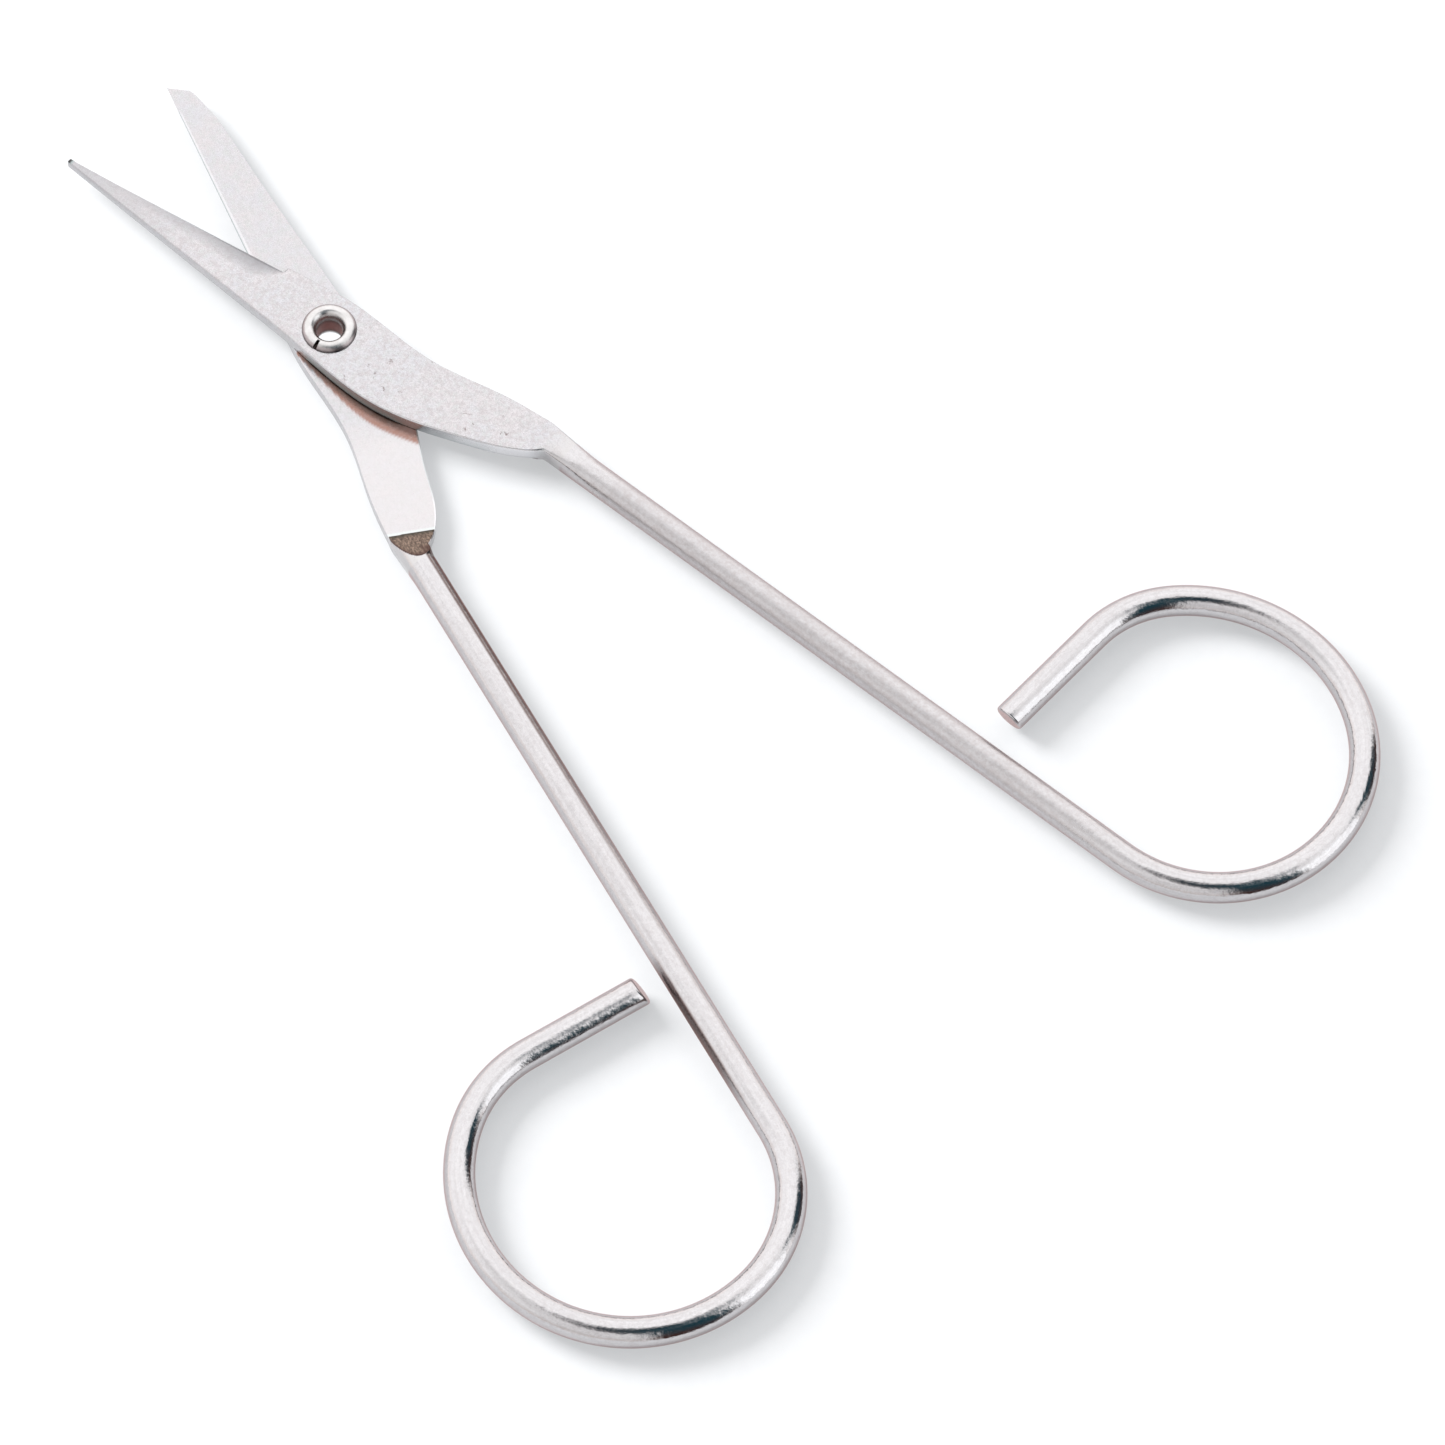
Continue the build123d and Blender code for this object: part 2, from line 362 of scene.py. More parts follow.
def section(high, low, x, crown=2.0):
    """One ring between the points high and low of the arm's two sides."""
    high, low = np.array(high, float), np.array(low, float)
    width = float(np.linalg.norm(high - low))
    round_over = smoothstep(*FLAT_FADE, x)
    round_under = smoothstep(*CROWN_FADE, x)
    points = []
    for k, (inset, height) in enumerate(flat_section(width, x)):
        flat_q = 1 - 2 * inset / width
        round_q = math.cos(k * TURN)
        if k <= HALF:
            q = lerp(flat_q, round_q, round_over)
            z = lerp(height, WIRE_R * math.sin(k * TURN), round_over)
        else:
            q = lerp(flat_q, round_q, round_under)
            z = underside_z(q, x, crown)
        place = (high + low) / 2 + (high - low) / 2 * q
        if k > HALF:
            z = max(z, ramp_z(place[0], place[1]))
        points.append((place[0], place[1], z))
    return points


def offsets(ring):
    """How far each point of a ring lies from its middle, towards the outer side."""
    flat = np.array(ring)[:, :2]
    middle = (flat[0] + flat[HALF]) / 2
    outward = (flat[0] - middle) / float(np.linalg.norm(flat[0] - middle))
    return [float(np.dot(place - middle, outward)) for place in flat]


def forging_sections(arm):
    """Rings from the tip of the blade to where the wire is round, and the finish and painted shade of
    their points.
    """
    high, low = outline(arm)
    nose_x = (arm["nose"][0] + arm["back"][0][0]) / 2
    nose_lean = arm["nose"][0] - arm["back"][0][0]
    wire_lean = 2 * WIRE_R * math.sin(-SHANK_HEADING)
    foot_lean = FOOT_LINE[1] * (TANG_OUTER_Y - arm["tang_inner_y"])
    # How far a ring's outer side is ahead of its inner side, in X
    leans = [(nose_x, nose_lean), (nose_x + 4, 0), (17.0, 0), (18.2, foot_lean),
             (18.9, foot_lean), (21.2, wire_lean), (SHANK_START, wire_lean)]
    # Stretches of the arm: start, end, and the step between rings, finest at the run-out and neck
    spans = [(nose_x, nose_x + 2, 0.1), (nose_x + 2, -7.0, 0.5), (-7.0, -4.6, 0.08),
             (-4.6, 17.2, 0.2), (17.2, TANG_END, 0.1), (TANG_END, SHANK_START, 0.04)]
    stations = []
    for start, end, step in spans:
        count = math.ceil((end - start) / step)
        stations += [lerp(start, end, i / count) for i in range(count)]
    rings, finishes_and_shades = [], []
    for x in [*stations, SHANK_START]:
        lean = float(np.interp(x, *zip(*leans)))
        x_high, x_low = x + lean / 2, x - lean / 2
        ring = section((x_high, high(x_high)), (x_low, low(x_low)), x, arm["crown"])
        rings.append(ring)
        # Painted dark reflection on the inner side of the neck
        dirt = arm["dark_reflection"] * smoothstep(*REFLECTION_START, x)
        for k, offset in enumerate(offsets(ring)):
            finish_and_shade = finish_and_shade_at(k, x, ring, arm["crown"])
            finishes_and_shades.append(finish_and_shade._replace(dirt=dirt * inner_dark_reflection(0.0, offset)))
    return rings, finishes_and_shades


def wire_path(loop):
    """(place, heading, length so far) along the shank, the finger loop and the straight end."""
    place, heading, length = np.array([SHANK_START, 0.0]), SHANK_HEADING, 0.0
    path = []

    def straight(distance, step):
        nonlocal place, length
        ahead = np.array([math.cos(heading), math.sin(heading)])
        count = math.ceil(distance / step)
        path.extend((place + ahead * distance * i / count, heading, length + distance * i / count)
                    for i in range(count))
        place, length = place + ahead * distance, length + distance

    near_neck = 3.0
    straight(near_neck, 0.25)
    straight(SHANK_LENGTH - near_neck, 1.5)
    for radius, turn in loop:
        count = math.ceil(turn / 2.5)
        start, centre = heading, place + radius * np.array([-math.sin(heading), math.cos(heading)])
        for i in range(count):
            at = start + math.radians(turn) * i / count
            spoke = np.array([math.sin(at), -math.cos(at)])
            path.append((centre + radius * spoke, at, length + radius * (at - start)))
        heading = start + math.radians(turn)
        place = centre + radius * np.array([math.sin(heading), -math.cos(heading)])
        length += radius * math.radians(turn)
    straight(LOOP_END - END_ROUND, 1.0)
    path.append((place, heading, length))
    return path


def wire_sections(arm):
    """Rings of the round wire, from the forging to the cut end, with its rounded rim."""
    rings, lengths = [], []
    for place, heading, length in wire_path(arm["loop"]):
        side = WIRE_R * np.array([-math.sin(heading), math.cos(heading)])
        rings.append(np.array(section(place + side, place - side, SHANK_START + length)))
        lengths.append(length)
    ahead = np.array([math.cos(heading), math.sin(heading), 0.0])
    full = rings[-1].copy()
    middle = full.mean(0)
    # (how far forward, scale) of the rounded rim's rings, and of two more that close the end
    rim = [(math.sin(t), 1 - (1 - math.cos(t)) * END_ROUND / WIRE_R) for t in (0.4, 0.8, 1.2, 1.5)]
    rim += [(1.0, 0.7), (0.96, 0.35)]
    for forward, scale in rim:
        rings.append(middle + (full - middle) * scale + ahead * END_ROUND * forward)
        lengths.append(length + END_ROUND * forward)
    for ring in rings[-len(rim) - 1 :]:
        for point in ring:
            point[:] = np.array(point) + ahead * arm["cut_lean"] * point[2]
    return rings, lengths


# Meshes ------------------------------------------------------------------------------------
def arm_matrix(arm):
    """From an arm's own frame, in metres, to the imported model's frame at rest."""
    side = -1 if arm["turned_over"] else 1
    turn = Matrix.Rotation(math.radians(side * REST_HALF_ANGLE), 4, "Z")
    if arm["turned_over"]:
        turn = turn @ Matrix.Rotation(math.pi, 4, "X")
    return Matrix.Translation((0, 0, side * INNER_GAP / 2 * MM)) @ turn


def loft(name, rings, matrix, endless=False):
    """Skin over rings of equal length, in millimetres: capped, or joined from last to first."""
    count = len(rings[0])
    verts = [matrix @ (Vector(p) * MM) for ring in rings for p in ring]
    faces = []
    for i in range(len(rings) if endless else len(rings) - 1):
        a, b = i * count, (i + 1) % len(rings) * count
        faces += [(a + k, a + (k + 1) % count, b + (k + 1) % count, b + k) for k in range(count)]
    if not endless:
        last = (len(rings) - 1) * count
        faces.append(tuple(reversed(range(count))))
        faces.append(tuple(range(last, last + count)))
    mesh = bpy.data.meshes.new(name)
    mesh.from_pydata(verts, [], faces)
    mesh.update()
    return mesh


def store(mesh, name, values):
    """A number or a vector on each vertex, for the material to read."""
    values = np.array(values, np.float32)
    kind, key = ("FLOAT", "value") if values.ndim == 1 else ("FLOAT_VECTOR", "vector")
    mesh.attributes.new(name, kind, "POINT").data.foreach_set(key, values.ravel())


def store_places(mesh, matrix):
    """Each vertex's place in its arm's own frame, in millimetres."""
    back = matrix.inverted()
    places = [(back @ vertex.co) / MM for vertex in mesh.vertices]
    store(mesh, "arm_place", places)
    return places


def inner_dark_reflection(length, outward):
    """Painted dark reflection, brown, on the inner side of the shanks, with a painted light stripe in
    it, fading along them towards the loops.
    """
    inward = -outward / WIRE_R
    # A painted light stripe runs along inside the painted dark reflection
    streak = 1 - 0.55 * smoothstep(0.54, 0.60, inward) * (1 - smoothstep(0.66, 0.72, inward))
    return smoothstep(0.36, 0.48, inward) * streak * (1 - smoothstep(8.0, 52.0, length))


def end_reflection(length, outward):
    """Painted reflection on a shank's outer side: the dark straight end of its own wire, mirrored
    where it comes close.
    """
    beside = smoothstep(37.0, 40.0, length) * (1 - smoothstep(47.0, 53.0, length))
    return beside * smoothstep(0.66, 0.78, outward / WIRE_R)


def tumbling(length):
    """Cloudy stretch of a shank, between the polished neck and the finger loop."""
    return smoothstep(0.0, 6.0, length) * (1 - smoothstep(44.0, 60.0, length))


def belly_shadow(arm, place):
    """Painted brown shadow on the rear arm's inner face, along the line of the front arm's belly at
    rest: the front arm's shadow and dark reflection.
    """
    if not arm["turned_over"] or place[2] > TOUCHING:
        return 0.0
    to_front = arm_matrix(ARMS["front"]).inverted() @ arm_matrix(arm)
    on_front = (to_front @ (Vector(place) * MM)) / MM
    if not SHADOW_START < on_front.x < SHADOW_END:
        return 0.0
    beyond = outline(ARMS["front"])[1](on_front.x) - on_front.y
    width = lerp(0.25, 1.1, smoothstep(SHADOW_START, 8.0, on_front.x))
    return smoothstep(-0.6, -0.1, beyond) * (1 - smoothstep(0.9 * width, 1.1 * width, beyond))


def link(name, mesh):
    piece = bpy.data.objects.new(name, mesh)
    bpy.context.scene.collection.objects.link(piece)
    return piece


def finish_shape(piece, angle=28):
    """Bakes the piece's modifiers in, and shades it smooth except over sharp corners."""
    depsgraph = bpy.context.evaluated_depsgraph_get()
    mesh = bpy.data.meshes.new_from_object(piece.evaluated_get(depsgraph))
    piece.modifiers.clear()
    piece.data = mesh
    mesh.name = piece.name
    mesh.shade_smooth()
    mesh.set_sharp_from_angle(angle=math.radians(angle))
    even = piece.modifiers.new("even normals", "WEIGHTED_NORMAL")
    even.keep_sharp = True


def bore_hole(piece, radius, matrix):
    """Cuts the pivot hole through a blade."""
    cutter_mesh = bpy.data.meshes.new("cutter")
    shape = bmesh.new()
    bmesh.ops.create_cone(
        shape, cap_ends=True, segments=96, radius1=radius * MM, radius2=radius * MM,
        depth=6 * MM, matrix=matrix)
    shape.to_mesh(cutter_mesh)
    shape.free()
    cutter = link("cutter", cutter_mesh)
    cut = piece.modifiers.new("hole", "BOOLEAN")
    cut.operation = "DIFFERENCE"
    cut.solver = "EXACT"
    cut.object = cutter
    bpy.context.view_layer.update()
    return cutter


def make_blade(side, material):
    """Forged end of one arm."""
    arm = ARMS[side]
    body = side + "_arm"
    matrix = arm_matrix(arm)
    forging, finishes_and_shades = forging_sections(arm)
    blade = link(side + "_blade_forged", loft(side + "_blade_forged", forging, matrix))
    cutter = bore_hole(blade, arm["hole_r"], matrix)
    finish_shape(blade)
    bpy.data.objects.remove(cutter)

    # Cutting the hole renumbers the vertices, so each takes the finish and painted shade of the
    # nearest ring point
    places, near = store_places(blade.data, matrix), KDTree(len(finishes_and_shades))
    for index, point in enumerate(np.array(forging).reshape(-1, 3)):
        near.insert(point, index)
    near.balance()
    states = [finishes_and_shades[near.find(point)[1]] for point in places]
    # Painted brown shadow of the front arm's belly on the rear arm's face
    belly_shadows = [belly_shadow(arm, place) for place in places]
    store(blade.data, "finish_and_shade", [(state.patina_and_shade, state.grind_and_shade, state.polish) for state in states])
    store(blade.data, "wear_and_shade", [(state.rub_and_sheen, belly_shade, state.coined)
                               for state, belly_shade in zip(states, belly_shadows)])
    store(blade.data, "dark_reflection", [state.dirt for state in states])
    blade.data.materials.clear()
    blade.data.materials.append(material)
    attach(blade, body)
    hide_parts(side + "_blade")


def make_handle(side, material):
    """Round wire of one arm, in one piece from the forging to its cut end."""
    arm = ARMS[side]
    body = side + "_arm"
    rings, lengths = wire_sections(arm)
    handle = link(side + "_wire_bent", loft(side + "_wire_bent", rings, arm_matrix(arm)))
    places = [(length, WIRE_R * math.cos(k * TURN), WIRE_R * math.sin(k * TURN))
              for length in lengths for k in range(RING)]
    store(handle.data, "wire_place", places)
    # Painted dark reflections: along the shank's inner side, and of the wire's own end on its outer
    # side
    store(handle.data, "dark_reflection", [
        arm["dark_reflection"] * inner_dark_reflection(length, outward) + arm["end_reflected"] * end_reflection(length, outward)
        for length, outward, _ in places])
    store(handle.data, "tumbled", [arm["tumbled"] * tumbling(length) for length, _, _ in places])
    finish_shape(handle)
    handle.data.materials.append(material)
    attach(handle, body)
    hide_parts(side + "_handle")


def eyelet_profile(side):
    """(radius, height) from the throat over the crest of a rolled head to its rim and barrel."""
    flare_r, flare_z = HEAD_CREST_R - BORE_R, HEAD_CREST_Z - THROAT_HALF
    roll_r, roll_z = HEAD_R - HEAD_CREST_R, HEAD_CREST_Z - HEAD_UNDER_Z
    quarter = [i / ROLL_STEPS * math.pi / 2 for i in range(ROLL_STEPS + 1)]
    flare = [(HEAD_CREST_R - flare_r * math.cos(t), THROAT_HALF + flare_z * math.sin(t))
             for t in quarter]
    roll = [(HEAD_CREST_R + roll_r * math.sin(t), HEAD_UNDER_Z + roll_z * math.cos(t))
            for t in quarter[1:]]
    under = [(HEAD_R - 0.12, HEAD_UNDER_Z), (BARREL_R, HEAD_UNDER_Z)]
    return [(r, side * z) for r, z in [*flare, *roll, *under]]


def split_depth(radius, angle):
    """1 in the radial split of the front head, 0 beside it and inside its inner end."""
    off = abs((angle - SPLIT_ANGLE + math.pi) % (2 * math.pi) - math.pi) * radius
    half_width = 0.07 + 0.05 * max(radius - SPLIT_START_R, 0)
    started = smoothstep(SPLIT_START_R, SPLIT_START_R + 0.1, radius)
    return started * (1 - smoothstep(half_width, half_width + 0.05, off))


def make_eyelet(material):
    """Hollow rivet: a lathed tube with two rolled heads, the front one split once."""
    rings = []
    for radius, z in eyelet_profile(1) + eyelet_profile(-1)[::-1]:
        ring = []
        for i in range(EYELET_COLUMNS):
            angle = i / EYELET_COLUMNS * 2 * math.pi
            deep = split_depth(radius, angle) if z >= SPLIT_FLOOR_Z else 0
            height = lerp(z, SPLIT_FLOOR_Z, deep)
            ring.append((radius * math.cos(angle), radius * math.sin(angle), height))
        rings.append(ring)
    mesh = loft("eyelet_rolled", rings, Matrix(), endless=True)
    shape = bmesh.new()
    shape.from_mesh(mesh)
    bmesh.ops.recalc_face_normals(shape, faces=shape.faces)
    shape.to_mesh(mesh)
    shape.free()
    eyelet = link("eyelet_rolled", mesh)
    finish_shape(eyelet, angle=40)
    eyelet.data.materials.append(material)
    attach(eyelet, "rear_arm")
    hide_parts("pivot_eyelet")


# Materials ---------------------------------------------------------------------------------
# Brown of the painted dark reflections on the shanks and necks
REFLECTION_BROWN = (0.085, 0.048, 0.040, 1)


class Nodes:
    """Adds nodes to a tree; an input is given a number, a colour or another node's output.

    An input is named, or is an underscore and its number.
    """

    def __init__(self, tree):
        self.tree = tree

    def add(self, kind, settings=None, **inputs):
        node = self.tree.nodes.new(kind)
        for key, value in (settings or {}).items():
            setattr(node, key, value)
        for key, value in inputs.items():
            socket = node.inputs[int(key[1:])] if key[0] == "_" else node.inputs[key.replace("_", " ")]
            if isinstance(value, bpy.types.NodeSocket):
                self.tree.links.new(value, socket)
            else:
                socket.default_value = value
        return node

    def math(self, operation, a, b=0.0):
        return self.add("ShaderNodeMath", {"operation": operation}, _0=a, _1=b).outputs[0]

    def times(self, a, b):
        return self.math("MULTIPLY", a, b)

    def plus(self, a, b):
        return self.math("ADD", a, b)

    def minus(self, a, b):
        return self.math("SUBTRACT", a, b)

    def noise(self, vector, scale, detail=3.0, roughness=0.55, distortion=0.0):
        node = self.add("ShaderNodeTexNoise", None, Vector=vector, Scale=scale, Detail=detail,
                        Roughness=roughness, Distortion=distortion)
        return node.outputs["Fac"]

    def stretch(self, vector, scale):
        return self.add("ShaderNodeMapping", None, Vector=vector, Scale=scale).outputs[0]

    def attribute(self, name, output="Fac"):
        return self.add("ShaderNodeAttribute", {"attribute_name": name}).outputs[output]

    def span(self, value, low, high, out_low=0.0, out_high=1.0):
        """Takes low..high to out_low..out_high, and stays level outside them."""
        node = self.add("ShaderNodeMapRange", None, _0=value, _1=low, _2=high, _3=out_low, _4=out_high)
        return node.outputs[0]

    def parts(self, vector):
        return self.add("ShaderNodeSeparateXYZ", None, _0=vector).outputs

    def mix(self, factor, a, b, blend="MIX"):
        node = self.add("ShaderNodeMix", {"data_type": "RGBA", "blend_type": blend})
        for index, value in ((0, factor), (6, a), (7, b)):
            if isinstance(value, bpy.types.NodeSocket):
                self.tree.links.new(value, node.inputs[index])
            else:
                node.inputs[index].default_value = value
        return node.outputs[2]


def new_material(name):
    material = bpy.data.materials.new(name)
    material.use_nodes = True
    shader = material.node_tree.nodes["Principled BSDF"]
    return material, Nodes(material.node_tree), shader


def connect(n, shader, height, strength, distance, **inputs):
    """Links values to the shader's inputs, and a height to its normal through a bump."""
    bump = n.add("ShaderNodeBump", None, Height=height, Strength=strength, Distance=distance)
    n.tree.links.new(bump.outputs[0], shader.inputs["Normal"])
    for name, value in inputs.items():
        n.tree.links.new(value, shader.inputs[name.replace("_", " ")])


def satin_tone(n, place, outer, grain, fine, cloud):
    """Colour of the clean plate: pink and grey mottling, dull grains and bright ones."""
    mottle = n.noise(place, 0.45, 3, 0.6)
    green = n.noise(n.stretch(place, (1, -1, 1)), 1.7, 3, 0.65)
    tone = n.mix(n.span(mottle, 0.38, 0.62), (0.530, 0.506, 0.516, 1), (0.508, 0.508, 0.534, 1))
    tone = n.mix(n.span(green, 0.46, 0.62, 0.0, 0.7), tone, (0.475, 0.492, 0.486, 1))
    worn = n.times(n.span(cloud, 0.44, 0.62), n.span(outer, 0.0, 1.0, 0.30, 0.75))
    tone = n.mix(worn, tone, (0.445, 0.412, 0.420, 1))
    dull = n.times(n.span(grain, 0.44, 0.66), n.span(outer, 0.0, 1.0, 0.30, 0.45))
    tone = n.mix(dull, tone, (0.375, 0.365, 0.380, 1))
    return n.mix(n.span(fine, 0.32, 0.55, 0.32, 0.0), tone, (0.66, 0.65, 0.67, 1))


def coined_step_shading(n, place, down, coined):
    """Dark brown streaky tone on the coined step, with painted shade darker at its foot and round its
    rim.
    """
    drawn = n.noise(n.stretch(place, (2.0, 7.0, 7.0)), 1.0, 3, 0.7)
    scale = n.mix(n.span(drawn, 0.40, 0.60), (0.265, 0.195, 0.155, 1), (0.085, 0.062, 0.050, 1))
    # Painted shade in the crease along the step's foot line
    scale = n.mix(n.span(down, 18.55, 19.0, 0.85, 0.0), scale, (0.045, 0.046, 0.038, 1))
    # Painted shade round the step's rim, where it meets the round wire
    return n.mix(n.span(coined, 0.55, 1.0, 0.85, 0.0), scale, (0.050, 0.022, 0.020, 1))


def satin_material():
    """Tumbled nickel plate on the forged blades: grain, pink and grey mottling, pits, dark trim that
    is partly patina and partly painted shade, and painted highlights, reflections and shadow.
    """
    material, n, shader = new_material("satin nickel")
    place = n.attribute("arm_place", "Vector")
    patina_and_shade, grind_and_shade, polish = n.parts(n.attribute("finish_and_shade", "Vector"))
    rub_and_sheen, shadowed, coined = n.parts(n.attribute("wear_and_shade", "Vector"))
    dark_reflection = n.attribute("dark_reflection")
    along, across, above = n.parts(place)
    outer = n.span(above, 0.1, 0.9)
    under = n.span(above, 0.02, 0.10, 1.0, 0.0)
    down = n.minus(along, n.times(across, FOOT_LINE[1]))
    cloud = n.noise(place, 2.4, 3, 0.65)
    grain = n.noise(place, 6.5, 3, 0.7)
    fine = n.noise(place, 13.0, 2, 0.6)
    tone = satin_tone(n, place, outer, grain, fine, cloud)
    # A few pits in the tang's outer face
    speck = n.noise(place, 1.5, 3, 0.6, 0.4)
    sparse = n.noise(place, 0.21, 1, 0.5)
    pit = n.times(n.span(speck, 0.645, 0.73), n.span(sparse, 0.49, 0.57))
    pit = n.times(n.times(pit, outer), n.span(along, 1.0, 3.0))
    tone = n.mix(n.times(pit, 0.7), tone, (0.15, 0.11, 0.10, 1))
    # Greyer where it is ground, partly ground finish and partly painted shade of the hollow grind, and
    # towards the tip; paler on the rear arm's face
    grind_shade = n.times(grind_and_shade, n.span(along, -22.0, -8.0, 0.25, 0.95))
    tone = n.mix(grind_shade, tone, (0.235, 0.235, 0.25, 1))
    tip = n.times(outer, n.span(along, -23.0, -13.0, 0.6, 0.0))
    tone = n.mix(tip, tone, (0.36, 0.355, 0.37, 1))
    pale = n.times(under, n.span(along, 7.0, 11.0, 0.0, 0.6))
    tone = n.mix(pale, tone, (0.60, 0.58, 0.585, 1))
    # Polished neck, rubbed corners with a painted sheen, the front arm's painted brown shadow, and a
    # painted highlight on the lip above the coined step
    tone = n.mix(polish, tone, (0.54, 0.53, 0.53, 1))
    # Rubbed corners, lightened as wear and as a painted sheen of bright reflections
    tone = n.mix(n.times(rub_and_sheen, 0.8), tone, (0.76, 0.76, 0.78, 1))
    # Painted brown shadow of the front arm's belly
    brown_shadow = n.times(shadowed, n.span(cloud, 0.3, 0.6, 1.0, 0.85))
    tone = n.mix(brown_shadow, tone, (0.30, 0.165, 0.132, 1))
    # Painted highlight on the lip just before the coined step's foot line
    lip_highlight = n.times(n.span(down, 18.20, 18.34), n.span(down, 18.48, 18.50, 1.0, 0.0))
    tone = n.mix(n.times(n.times(lip_highlight, under), 0.6), tone, (0.62, 0.68, 0.67, 1))
    tone = n.mix(n.span(coined, 0.0, 0.5), tone, coined_step_shading(n, place, down, coined))
    # Patina and painted shade go from teal grey to black, and the brown painted dark reflection lies
    # over them
    tone = n.mix(n.span(patina_and_shade, 0.0, 0.45), tone, (0.40, 0.455, 0.455, 1))
    dark = n.times(n.span(patina_and_shade, 0.4, 0.9), n.span(grain, 0.3, 0.6, 1.0, 0.9))
    tone = n.mix(dark, tone, (0.016, 0.012, 0.011, 1))
    tone = n.mix(n.times(dark_reflection, n.span(grain, 0.3, 0.6, 0.85, 1.0)), tone, REFLECTION_BROWN)
    rough = n.plus(n.span(cloud, 0.3, 0.7, 0.20, 0.26), n.span(grain, 0.3, 0.7, -0.02, 0.04))
    rough = n.plus(rough, n.times(patina_and_shade, 0.6))
    rough = n.plus(rough, n.times(grind_and_shade, 0.10))
    rough = n.minus(rough, n.times(polish, 0.12))
    height = n.plus(n.times(grain, 0.6), n.times(fine, 0.3))
    height = n.minus(height, n.times(pit, 0.8))
    connect(n, shader, height, 0.25, 0.03 * MM, Base_Color=tone, Roughness=rough,
            Metallic=n.minus(1.0, n.times(dark, 0.9)))
    return material


def wire_material():
    """Bright nickel on drawn wire: streaks, cloudy tumbling marks, ripples, and painted brown dark
    reflections.
    """
    material, n, shader = new_material("bright nickel wire")
    place = n.attribute("wire_place", "Vector")
    tumbled = n.attribute("tumbled")
    streak = n.noise(n.stretch(place, (0.12, 4.0, 4.0)), 1.0, 4, 0.7)
    ripple = n.noise(n.stretch(place, (0.7, 1.1, 1.1)), 1.0, 4, 0.6)
    cloud = n.noise(n.stretch(place, (2.4, 3.2, 3.2)), 1.0, 3, 0.65)
    fine = n.noise(place, 7.0, 3, 0.6)
    tone = n.mix(n.span(streak, 0.35, 0.65), (0.510, 0.500, 0.510, 1), (0.580, 0.570, 0.580, 1))
    tone = n.mix(n.span(cloud, 0.45, 0.66, 0.0, 0.45), tone, (0.460, 0.435, 0.440, 1))
    tone = n.mix(n.span(fine, 0.45, 0.70, 0.0, 0.30), tone, (0.42, 0.41, 0.42, 1))
    grit = n.times(tumbled, n.span(n.noise(place, 4.0, 4, 0.75), 0.42, 0.62))
    tone = n.mix(n.times(grit, 0.5), tone, (0.42, 0.385, 0.38, 1))
    # Painted dark reflections, in brown
    dirt = n.times(n.attribute("dark_reflection"), n.span(fine, 0.3, 0.6, 0.85, 1.0))
    tone = n.mix(dirt, tone, REFLECTION_BROWN)
    shader.inputs["Metallic"].default_value = 1.0
    shader.inputs["Specular Tint"].default_value = (0.80, 0.62, 0.60, 1)
    rough = n.plus(n.span(streak, 0.3, 0.7, 0.06, 0.13), n.span(cloud, 0.35, 0.65, 0.0, 0.07))
    rough = n.plus(rough, n.times(tumbled, 0.22))
    height = n.plus(n.times(streak, 0.04), n.times(cloud, 0.09))
    connect(n, shader, n.plus(height, ripple), 0.45, 0.1 * MM, Base_Color=tone, Roughness=rough)
    return material


def split_shade(n, x, y, z):
    """1 in the split of the front head, which is darkened as painted shade in the crack."""
    cos, sin = math.cos(SPLIT_ANGLE), math.sin(SPLIT_ANGLE)
    away = n.minus(n.times(x, sin), n.times(y, cos))
    outward = n.plus(n.times(x, cos), n.times(y, sin))
    split = n.times(n.span(n.math("ABSOLUTE", away), 0.09, 0.14, 1.0, 0.0),
                    n.span(outward, SPLIT_START_R, SPLIT_START_R + 0.06))
    return n.times(split, n.span(z, 1.0, 1.1))


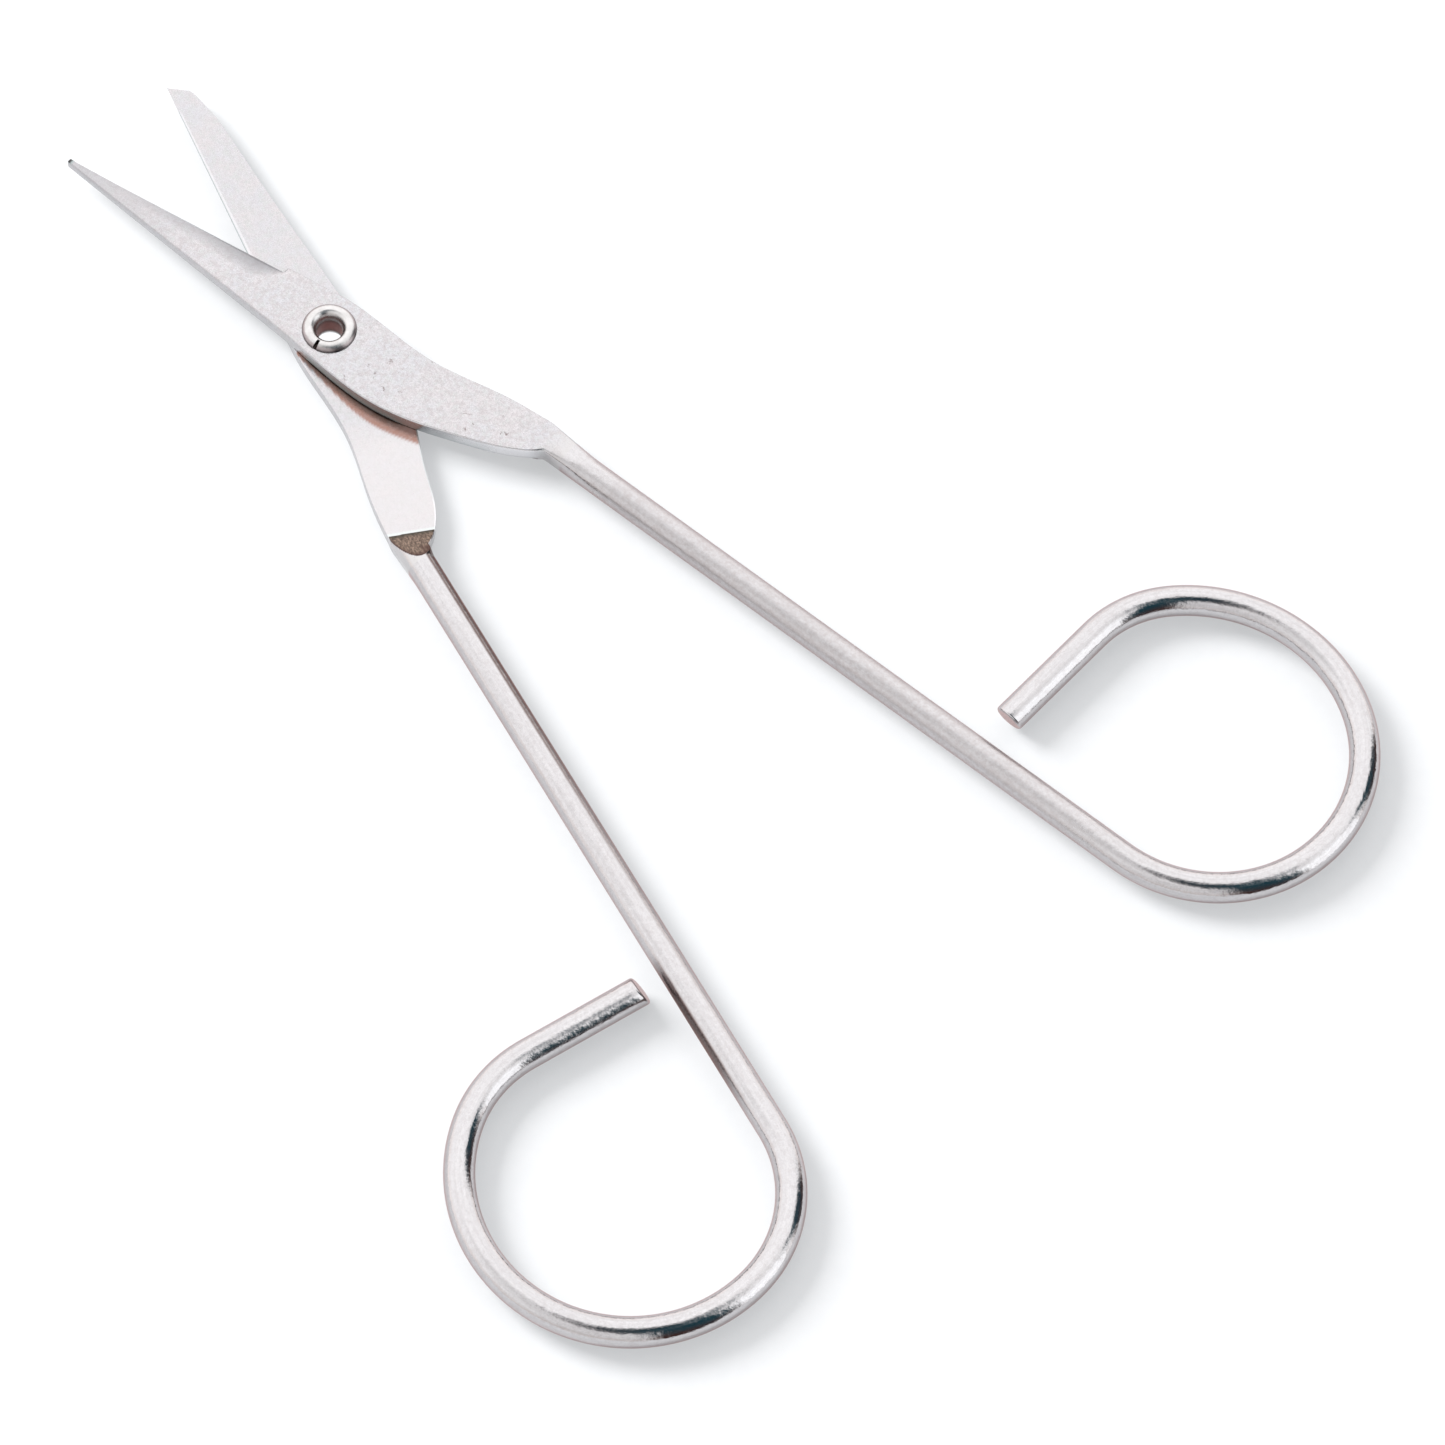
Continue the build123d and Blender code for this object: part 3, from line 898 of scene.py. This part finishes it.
def eyelet_material():
    """Bright plated tube, rolled over: polished crest, and painted shade in its throat, in its split
    and under its rim.
    """
    material, n, shader = new_material("bright nickel eyelet")
    place = n.add("ShaderNodeTexCoord").outputs["Object"]
    place = n.stretch(place, (1 / MM, 1 / MM, 1 / MM))
    x, y, z = n.parts(place)
    radius = n.math("SQRT", n.plus(n.times(x, x), n.times(y, y)))
    cloud = n.noise(place, 1.6, 3, 0.6)
    fine = n.noise(place, 8.0, 3, 0.6)
    tone = n.mix(n.span(cloud, 0.35, 0.65), (0.55, 0.54, 0.535, 1), (0.65, 0.64, 0.64, 1))
    raised = n.plus(n.math("ABSOLUTE", z), n.span(fine, 0.3, 0.7, -0.05, 0.05))
    # Painted shade in the throat: dark red-brown deep in the bore, darker towards the mouth
    throat_shade = n.span(raised, 0.72, 1.16, 1.0, 0.0)
    throat_shade = n.times(throat_shade, n.span(radius, 1.25, 1.30, 1.0, 0.0))
    depth = n.mix(n.span(raised, 0.35, 0.95), (0.190, 0.055, 0.044, 1), (0.050, 0.026, 0.022, 1))
    tone = n.mix(throat_shade, tone, depth)
    # Painted shade under the rolled rim: a mauve band, then black at the edge
    edge = n.plus(radius, n.span(fine, 0.3, 0.7, -0.03, 0.03))
    tone = n.mix(n.span(edge, 1.86, 1.98, 0.0, 0.65), tone, (0.22, 0.165, 0.170, 1))
    tone = n.mix(n.times(n.span(edge, 2.06, 2.15), 0.5), tone, (0.03, 0.018, 0.018, 1))
    tone = n.mix(split_shade(n, x, y, z), tone, (0.02, 0.014, 0.013, 1))
    rough = n.plus(n.span(cloud, 0.3, 0.7, 0.24, 0.32), n.span(fine, 0.3, 0.7, 0.0, 0.06))
    rough = n.plus(rough, n.times(throat_shade, 0.2))
    connect(n, shader, cloud, 0.2, 0.1 * MM, Base_Color=tone, Roughness=rough,
            Metallic=n.minus(1.0, n.times(throat_shade, 0.5)))
    return material


def floor_material():
    """White light-table top with a faint tooth, and a painted glow: a small spot under the rivet glows
    brighter than the rest.
    """
    material, n, shader = new_material("white table")
    place = n.add("ShaderNodeTexCoord").outputs["Object"]
    tooth = n.noise(place, 900.0, 3, 0.6)
    tone = n.mix(n.span(tooth, 0.3, 0.7), (0.298, 0.301, 0.307, 1), (0.310, 0.312, 0.316, 1))
    shader.inputs["Roughness"].default_value = 0.9
    shader.inputs["Specular IOR Level"].default_value = 0.2
    shader.inputs["Emission Color"].default_value = (0.96, 0.98, 1.0, 1)
    from_pivot = n.add("ShaderNodeVectorMath", {"operation": "LENGTH"}, _0=place).outputs["Value"]
    # A painted glow spot under the rivet, seen through its bore; the rest of the table glows evenly
    table_and_spot_glow = n.span(from_pivot, 1.3 * MM, 1.5 * MM, 1.0, 0.42)
    connect(n, shader, tooth, 0.05, 0.1 * MM, Base_Color=tone, Emission_Strength=table_and_spot_glow)
    return material


# Studio ------------------------------------------------------------------------------------
VIEW_TURN = math.radians(46.84)     # the photograph's up direction, about Z
VIEW_TILT = math.radians(27.0)      # from straight down
VIEW_ROLL = math.radians(3.0)
VIEW_DISTANCE = 599.1 * MM
VIEW_OFFSET = (30.59 * MM, -30.05 * MM)
SENSOR = 36.0
FIELD_WIDTH = 112.54 * MM
FLOOR_R = 1.6
FLOOR_COLUMNS = 96


def make_camera():
    turn = Matrix.Rotation(VIEW_TURN, 4, "Z") @ Matrix.Rotation(VIEW_TILT, 4, "X")
    turn = turn @ Matrix.Rotation(VIEW_ROLL, 4, "Z")
    data = bpy.data.cameras.new("camera")
    data.sensor_width = SENSOR
    data.lens = SENSOR * VIEW_DISTANCE / FIELD_WIDTH
    data.clip_start = 0.01
    data.clip_end = 20.0
    camera = bpy.data.objects.new("camera", data)
    bpy.context.scene.collection.objects.link(camera)
    camera.matrix_world = turn @ Matrix.Translation((*VIEW_OFFSET, VIEW_DISTANCE))
    bpy.context.scene.camera = camera


def from_view(azimuth, elevation):
    """Direction towards a place in the studio: azimuth 0 is the photograph's right, 90 its top."""
    a = math.radians(azimuth) + VIEW_TURN
    e = math.radians(elevation)
    return Vector((math.cos(a) * math.cos(e), math.sin(a) * math.cos(e), math.sin(e)))


def softbox(name, azimuth, elevation, distance, width, height, power):
    data = bpy.data.lights.new(name, "AREA")
    data.shape = "RECTANGLE"
    data.size, data.size_y = width, height
    data.energy = power
    light = bpy.data.objects.new(name, data)
    bpy.context.scene.collection.objects.link(light)
    centre = (Vector(cad_box[0]) + Vector(cad_box[1])) / 2
    towards = from_view(azimuth, elevation)
    light.location = centre + towards * distance
    light.rotation_euler = towards.to_track_quat("Z", "Y").to_euler()
    light.visible_glossy = False


def make_floor(material):
    shape = bmesh.new()
    bmesh.ops.create_circle(shape, cap_ends=True, segments=FLOOR_COLUMNS, radius=FLOOR_R)
    mesh = bpy.data.meshes.new("floor")
    shape.to_mesh(mesh)
    shape.free()
    floor = link("floor", mesh)
    floor.location.z = cad_box[0].z
    floor.data.materials.append(material)


def make_world():
    """Studio walls: bright at the back, with a window, and with dark openings that wires mirror."""
    world = bpy.data.worlds.new("studio")
    bpy.context.scene.world = world
    world.use_nodes = True
    n = Nodes(world.node_tree)
    background = world.node_tree.nodes["Background"]
    direction = n.add("ShaderNodeTexCoord").outputs["Generated"]
    height = n.parts(direction)[2]
    flat = n.math("SQRT", n.minus(1.0, n.times(height, height)))

    def towards(azimuth, elevation):
        return n.add("ShaderNodeVectorMath", {"operation": "DOT_PRODUCT"}, _0=direction,
                     _1=from_view(azimuth, elevation)).outputs["Value"]

    def edges(inner, outer):
        return [math.cos(math.radians(angle)) for angle in (outer, inner)]

    def cone(azimuth, elevation, inner, outer):
        """1 inside a cone about a direction, 0 outside it."""
        return n.span(towards(azimuth, elevation), *edges(inner, outer))

    def panel(azimuth, inner, outer, low_height, high_height):
        """1 on an upright panel of the wall, up to its top edge, 0 beside and above it."""
        beside = n.span(n.math("DIVIDE", towards(azimuth, 0), flat), *edges(inner, outer))
        return n.times(beside, n.span(height, low_height, high_height, 1.0, 0.0))

    # Brightness of the walls: it grows towards the back, and dips near the floor and on one side
    level = n.span(towards(110, 20), -0.6, 0.62, 1.00, 1.62)
    level = n.times(level, n.span(height, 0.0, 0.35, 0.92, 1.0))
    level = n.times(level, n.span(cone(-155, 60, 6, 24), 0.0, 1.0, 1.0, 0.78))
    tint = n.mix(n.span(height, 0.0, 0.4), (1.0, 0.93, 0.90, 1), (1.0, 0.99, 0.99, 1))
    colour = n.mix(1.0, tint, level, "MULTIPLY")
    window = panel(-17, 13, 20, 0.66, 0.84)
    colour = n.mix(window, colour, (1.80, 1.82, 1.84, 1))
    # The dark openings are brown on one side of the studio and blue on the other
    blue_side = n.span(towards(-15, 50), 0.50, 0.90)
    dark = n.mix(blue_side, (0.080, 0.034, 0.027, 1), (0.018, 0.068, 0.092, 1))
    faint = n.times(cone(-97, 60, 3, 8), 0.45)
    overhead, beside_it = cone(-72, 73, 9, 25), panel(-56, 15, 24, 0.85, 0.93)
    for opening in [overhead, beside_it, faint, panel(21, 9, 17, 0.66, 0.78)]:
        colour = n.mix(opening, colour, dark)
    world.node_tree.links.new(colour, background.inputs["Color"])
    background.inputs["Strength"].default_value = 1.0


make_camera()
make_world()
make_floor(floor_material())
softbox("key", azimuth=152, elevation=36, distance=1.3, width=0.6, height=0.6, power=33.0)
bpy.context.scene.view_settings.view_transform = "Standard"

satin, bright = satin_material(), wire_material()
for arm_side in ARMS:
    make_blade(arm_side, satin)
    make_handle(arm_side, bright)
make_eyelet(eyelet_material())
